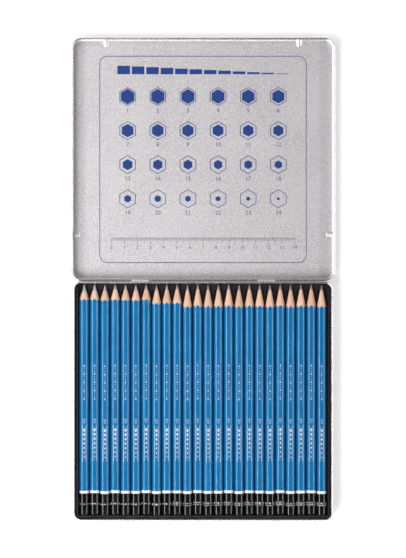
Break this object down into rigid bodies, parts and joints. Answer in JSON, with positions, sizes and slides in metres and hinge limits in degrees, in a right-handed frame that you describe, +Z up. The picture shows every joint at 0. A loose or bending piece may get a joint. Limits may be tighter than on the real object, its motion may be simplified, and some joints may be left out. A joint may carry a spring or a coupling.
{
  "type": "pencil tin",
  "caption": "Flat hinged metal tin with a formed tray of hexagonal graphite pencils, lid lying open behind it.",
  "frame": {"origin": "middle of the base's underside", "axes": "+X to the right along the hinge line, +Y towards the hinge and the open lid, +Z up"},
  "size_m": [0.2014, 0.3681, 0.0121],
  "materials": {
    "tinplate": "satin tinplate with a fine grain",
    "black_plastic": "satin",
    "steel_wire": "drawn wire",
    "lacquered_cedar": "gloss blue lacquer with a white ring and a black dipped end, bare cedar at the point",
    "graphite": "satin graphite"
  },
  "bodies": {
    "base": {"base_shell": "tinplate", "insert_tray": "black_plastic", "hinge_pin_left": "steel_wire", "hinge_pin_right": "steel_wire"},
    "lid": {"lid_shell": "tinplate"},
    "pencil_01": {"pencil_01_casing": "lacquered_cedar", "pencil_01_lead": "graphite"},
    "pencil_02": {"pencil_02_casing": "lacquered_cedar", "pencil_02_lead": "graphite"},
    "pencil_03": {"pencil_03_casing": "lacquered_cedar", "pencil_03_lead": "graphite"},
    "pencil_04": {"pencil_04_casing": "lacquered_cedar", "pencil_04_lead": "graphite"},
    "pencil_05": {"pencil_05_casing": "lacquered_cedar", "pencil_05_lead": "graphite"},
    "pencil_06": {"pencil_06_casing": "lacquered_cedar", "pencil_06_lead": "graphite"},
    "pencil_07": {"pencil_07_casing": "lacquered_cedar", "pencil_07_lead": "graphite"},
    "pencil_08": {"pencil_08_casing": "lacquered_cedar", "pencil_08_lead": "graphite"},
    "pencil_09": {"pencil_09_casing": "lacquered_cedar", "pencil_09_lead": "graphite"},
    "pencil_10": {"pencil_10_casing": "lacquered_cedar", "pencil_10_lead": "graphite"},
    "pencil_11": {"pencil_11_casing": "lacquered_cedar", "pencil_11_lead": "graphite"},
    "pencil_12": {"pencil_12_casing": "lacquered_cedar", "pencil_12_lead": "graphite"},
    "pencil_13": {"pencil_13_casing": "lacquered_cedar", "pencil_13_lead": "graphite"},
    "pencil_14": {"pencil_14_casing": "lacquered_cedar", "pencil_14_lead": "graphite"},
    "pencil_15": {"pencil_15_casing": "lacquered_cedar", "pencil_15_lead": "graphite"},
    "pencil_16": {"pencil_16_casing": "lacquered_cedar", "pencil_16_lead": "graphite"},
    "pencil_17": {"pencil_17_casing": "lacquered_cedar", "pencil_17_lead": "graphite"},
    "pencil_18": {"pencil_18_casing": "lacquered_cedar", "pencil_18_lead": "graphite"},
    "pencil_19": {"pencil_19_casing": "lacquered_cedar", "pencil_19_lead": "graphite"},
    "pencil_20": {"pencil_20_casing": "lacquered_cedar", "pencil_20_lead": "graphite"},
    "pencil_21": {"pencil_21_casing": "lacquered_cedar", "pencil_21_lead": "graphite"},
    "pencil_22": {"pencil_22_casing": "lacquered_cedar", "pencil_22_lead": "graphite"},
    "pencil_23": {"pencil_23_casing": "lacquered_cedar", "pencil_23_lead": "graphite"},
    "pencil_24": {"pencil_24_casing": "lacquered_cedar", "pencil_24_lead": "graphite"}
  },
  "joints": [
    {"name": "lid_hinge", "type": "hinge", "parent": "base", "child": "lid", "pos_m": [0, 0.09185, 0.0075], "axis": [-1, 0, 0], "range_deg": [-180, 0]},
    {"name": "pencil_01_lift", "type": "slide", "parent": "base", "child": "pencil_01", "axis": [0, 0, 1], "range_m": [0, 0.03]},
    {"name": "pencil_02_lift", "type": "slide", "parent": "base", "child": "pencil_02", "axis": [0, 0, 1], "range_m": [0, 0.03]},
    {"name": "pencil_03_lift", "type": "slide", "parent": "base", "child": "pencil_03", "axis": [0, 0, 1], "range_m": [0, 0.03]},
    {"name": "pencil_04_lift", "type": "slide", "parent": "base", "child": "pencil_04", "axis": [0, 0, 1], "range_m": [0, 0.03]},
    {"name": "pencil_05_lift", "type": "slide", "parent": "base", "child": "pencil_05", "axis": [0, 0, 1], "range_m": [0, 0.03]},
    {"name": "pencil_06_lift", "type": "slide", "parent": "base", "child": "pencil_06", "axis": [0, 0, 1], "range_m": [0, 0.03]},
    {"name": "pencil_07_lift", "type": "slide", "parent": "base", "child": "pencil_07", "axis": [0, 0, 1], "range_m": [0, 0.03]},
    {"name": "pencil_08_lift", "type": "slide", "parent": "base", "child": "pencil_08", "axis": [0, 0, 1], "range_m": [0, 0.03]},
    {"name": "pencil_09_lift", "type": "slide", "parent": "base", "child": "pencil_09", "axis": [0, 0, 1], "range_m": [0, 0.03]},
    {"name": "pencil_10_lift", "type": "slide", "parent": "base", "child": "pencil_10", "axis": [0, 0, 1], "range_m": [0, 0.03]},
    {"name": "pencil_11_lift", "type": "slide", "parent": "base", "child": "pencil_11", "axis": [0, 0, 1], "range_m": [0, 0.03]},
    {"name": "pencil_12_lift", "type": "slide", "parent": "base", "child": "pencil_12", "axis": [0, 0, 1], "range_m": [0, 0.03]},
    {"name": "pencil_13_lift", "type": "slide", "parent": "base", "child": "pencil_13", "axis": [0, 0, 1], "range_m": [0, 0.03]},
    {"name": "pencil_14_lift", "type": "slide", "parent": "base", "child": "pencil_14", "axis": [0, 0, 1], "range_m": [0, 0.03]},
    {"name": "pencil_15_lift", "type": "slide", "parent": "base", "child": "pencil_15", "axis": [0, 0, 1], "range_m": [0, 0.03]},
    {"name": "pencil_16_lift", "type": "slide", "parent": "base", "child": "pencil_16", "axis": [0, 0, 1], "range_m": [0, 0.03]},
    {"name": "pencil_17_lift", "type": "slide", "parent": "base", "child": "pencil_17", "axis": [0, 0, 1], "range_m": [0, 0.03]},
    {"name": "pencil_18_lift", "type": "slide", "parent": "base", "child": "pencil_18", "axis": [0, 0, 1], "range_m": [0, 0.03]},
    {"name": "pencil_19_lift", "type": "slide", "parent": "base", "child": "pencil_19", "axis": [0, 0, 1], "range_m": [0, 0.03]},
    {"name": "pencil_20_lift", "type": "slide", "parent": "base", "child": "pencil_20", "axis": [0, 0, 1], "range_m": [0, 0.03]},
    {"name": "pencil_21_lift", "type": "slide", "parent": "base", "child": "pencil_21", "axis": [0, 0, 1], "range_m": [0, 0.03]},
    {"name": "pencil_22_lift", "type": "slide", "parent": "base", "child": "pencil_22", "axis": [0, 0, 1], "range_m": [0, 0.03]},
    {"name": "pencil_23_lift", "type": "slide", "parent": "base", "child": "pencil_23", "axis": [0, 0, 1], "range_m": [0, 0.03]},
    {"name": "pencil_24_lift", "type": "slide", "parent": "base", "child": "pencil_24", "axis": [0, 0, 1], "range_m": [0, 0.03]}
  ]
}
